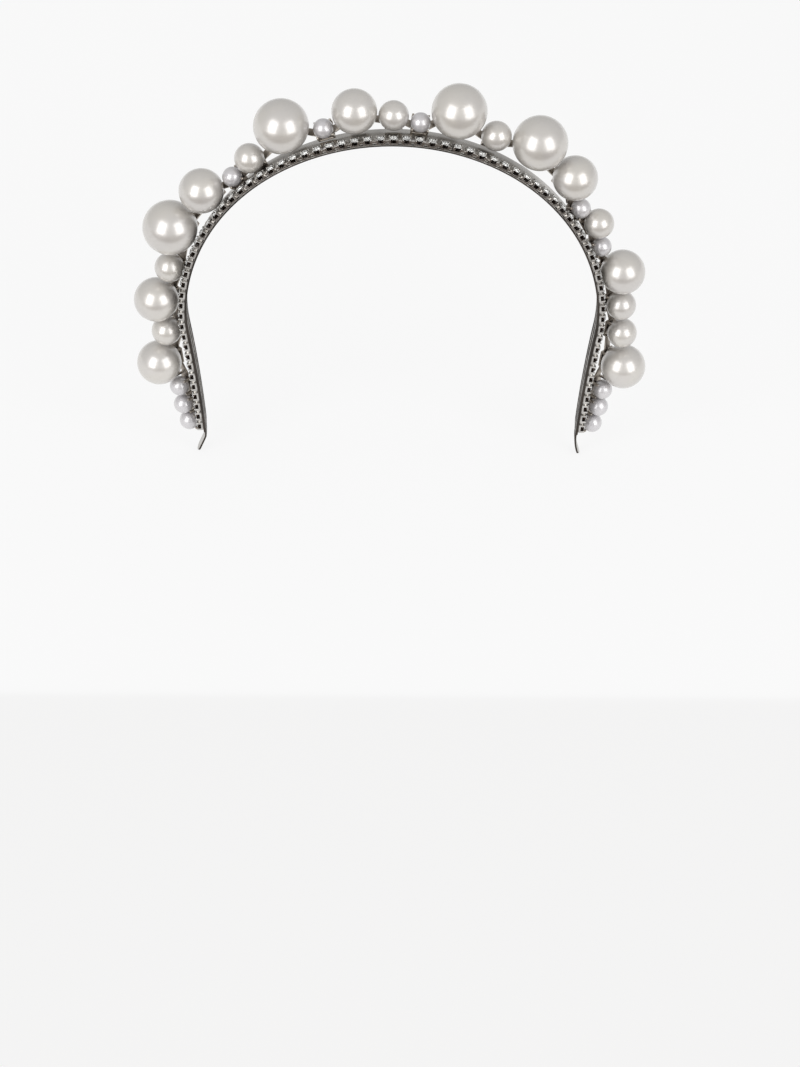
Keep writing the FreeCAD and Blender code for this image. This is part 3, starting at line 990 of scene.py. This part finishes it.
def slope_at(point):
    """Which way is outwards, from the middle of the arc that a point stands over."""
    side = math.copysign(1, point.x)
    over = Vector((abs(point.x), point.z))
    for start, stop, angle, radius, centre in arcs:
        reach = (over - Vector(centre)) * math.copysign(1, radius)
        slope = math.atan2(reach.x, reach.y)
        if slope <= angle + (stop - start) / radius:
            break
    return side * slope


for node in PEARLS:
    size = node.split("_")[-1]
    middle = centre_of(node)
    place = (
        Matrix.Translation(middle) @ Matrix.Rotation(slope_at(middle), 4, "Y")
        @ Matrix.Rotation(SETTING_TILT, 4, "X")
    )
    ball = copies_joined(node.replace("pearl", "bead"), balls[size], [place])
    seed = size == "seed"
    dress(ball, "pearl_seed" if seed else "pearl", SEED_PEARL if seed else PEARL)
    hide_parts(node)
scrap(*balls.values())
print(len(PEARLS), "pearls are set")

# %% [markdown]
# ## Settings, bars and pegs
#
# The settings are small sawn and filed parts.  Their shape is already right in the packed
# model, but a filed part never has a razor edge, and it is the rounded edges that catch the
# light.  So each is copied, its triangles are merged back into flat faces, and its edges are
# rounded.

# %% Rounded copies of the filed metal parts
def filed_copy(name, node, width):
    original = frame["nodes"][node]
    copy = original.copy()
    copy.data = original.data.copy()
    copy.parent = None
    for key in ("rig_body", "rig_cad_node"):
        if key in copy:
            del copy[key]
    bpy.context.scene.collection.objects.link(copy)
    copy.name = name
    copy.data.name = name
    hold(copy)
    outwards(copy)
    start_edit(copy)
    bpy.ops.mesh.dissolve_limited(angle_limit=math.radians(1))
    stop_edit()
    soften(copy, width)
    return copy


def filed_part(name, node, tarnish):
    part = filed_copy(name, node, METAL_ROUNDING)
    mark_shade_and_tarnish(part, lambda point: tarnish)
    smooth(part)
    dress(part, "setting_metal", OLD_SILVER)
    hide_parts(node)
    print(name, len(part.data.polygons), "faces")


for size in PEARL_DIAMETER:
    filed_part("settings_" + size, "claw_settings_" + size, 0.25)
filed_part("setting_bars", "setting_links", 0.35)
filed_part("pegs", "pearl_pegs", 0.35)

# %% [markdown]
# ## Studio
#
# A pale floor that fills the view, two tall softboxes either side of the camera, which are the
# two soft window shapes seen in every pearl, and a low even light from all round.

# %% Floor, lights and camera
FLOOR_SIZE = 12.0
PAPER_GLOW = 0.85
let_go()
bpy.ops.mesh.primitive_plane_add(size=FLOOR_SIZE, location=(0, 0, MODEL_BOX[0].z))
floor = newly_made("studio_floor")
paper, paper_shader = new_finish("pale_paper", roughness=0.9, emission_strength=PAPER_GLOW)
paper_place = own_place(paper)
paper_tone = blend(
    paper, spread(paper, grain(paper, paper_place, 3, 2.0), 0, 1),
    (0.08, 0.08, 0.08), (0.075, 0.075, 0.075),
)
paper_shader.inputs["Emission Color"].default_value = (1, 1, 1, 1)
wire_up(paper, paper_shader, Base_Color=paper_tone)
floor.data.materials.append(paper)

CAMERA_PLACE = Vector((-0.00692, -1.694, 1.1682))
LOOK = Vector((0.00525, 0.7986, -0.6018)).normalized()
CAMERA_RIGHT = Vector((0.99996, 0.0, 0.00873)).normalized()
CAMERA_UP = CAMERA_RIGHT.cross(LOOK).normalized()
LENS_LENGTH = 173.0
SENSOR_WIDTH = 36.0
camera_data = bpy.data.cameras.new("camera")
camera_data.lens = LENS_LENGTH
camera_data.sensor_width = SENSOR_WIDTH
camera = bpy.data.objects.new("camera", camera_data)
camera.matrix_world = Matrix.Translation(CAMERA_PLACE) @ Matrix(
    (CAMERA_RIGHT, CAMERA_UP, -LOOK)
).transposed().to_4x4()
bpy.context.scene.collection.objects.link(camera)
bpy.context.scene.camera = camera


SOFTBOX_WIDTH = 1.3
SOFTBOX_HEIGHT = 1.9
SOFTBOX_DISTANCE = 2.0


def softbox(name, sideways, upwards, brightness):
    """A soft light, placed by how far it stands to the side of the camera, in degrees."""
    sideways, upwards = math.radians(sideways), math.radians(upwards)
    towards = (
        -LOOK * math.cos(sideways) * math.cos(upwards)
        + CAMERA_RIGHT * math.sin(sideways) * math.cos(upwards) + CAMERA_UP * math.sin(upwards)
    )
    lamp_data = bpy.data.lights.new(name, "AREA")
    lamp_data.shape = "RECTANGLE"
    lamp_data.size = SOFTBOX_WIDTH
    lamp_data.size_y = SOFTBOX_HEIGHT
    lamp_data.energy = brightness * SOFTBOX_WIDTH * SOFTBOX_HEIGHT * math.pi
    lamp = bpy.data.objects.new(name, lamp_data)
    lamp.matrix_world = Matrix.Translation(towards * SOFTBOX_DISTANCE) @ (
        towards.to_track_quat("Z", "Y").to_matrix().to_4x4()
    )
    lamp.visible_camera = False
    bpy.context.scene.collection.objects.link(lamp)


softbox("softbox_left", -34, -5, 3.2)
softbox("softbox_right", 40, -7, 2.8)

# %% Dark cloth and the light of the room
# A dark cloth lies in front, hidden from the camera.  Each pearl shows it as the dark band
# that runs under its two bright windows, and it keeps light off the undersides.
CLOTH_NEAR = -0.16
CLOTH_FAR = -3.0
CLOTH_WIDTH = 3.0
ROOM_LIGHT = 0.6
let_go()
bpy.ops.mesh.primitive_plane_add(
    size=1, location=(0, (CLOTH_NEAR + CLOTH_FAR) / 2, MODEL_BOX[0].z + 2 * MM),
)
cloth = newly_made("dark_cloth")
start_edit(cloth)
bpy.ops.transform.resize(
    value=(CLOTH_WIDTH, CLOTH_NEAR - CLOTH_FAR, 1),
    center_override=(0, (CLOTH_NEAR + CLOTH_FAR) / 2, 0),
)
stop_edit()
wool, wool_shader = new_finish("dark_wool", roughness=1.0)
wool_shader.inputs["Base Color"].default_value = (0.10, 0.075, 0.06, 1)
cloth.data.materials.append(wool)
cloth.visible_camera = False
cloth.visible_shadow = False

world = bpy.data.worlds.new("studio")
bpy.context.scene.world = world
world.use_nodes = True
room = world.node_tree.nodes["Background"]
room.inputs["Color"].default_value = (1, 1, 1, 1)
room.inputs["Strength"].default_value = ROOM_LIGHT
bpy.context.scene.view_settings.view_transform = "Standard"
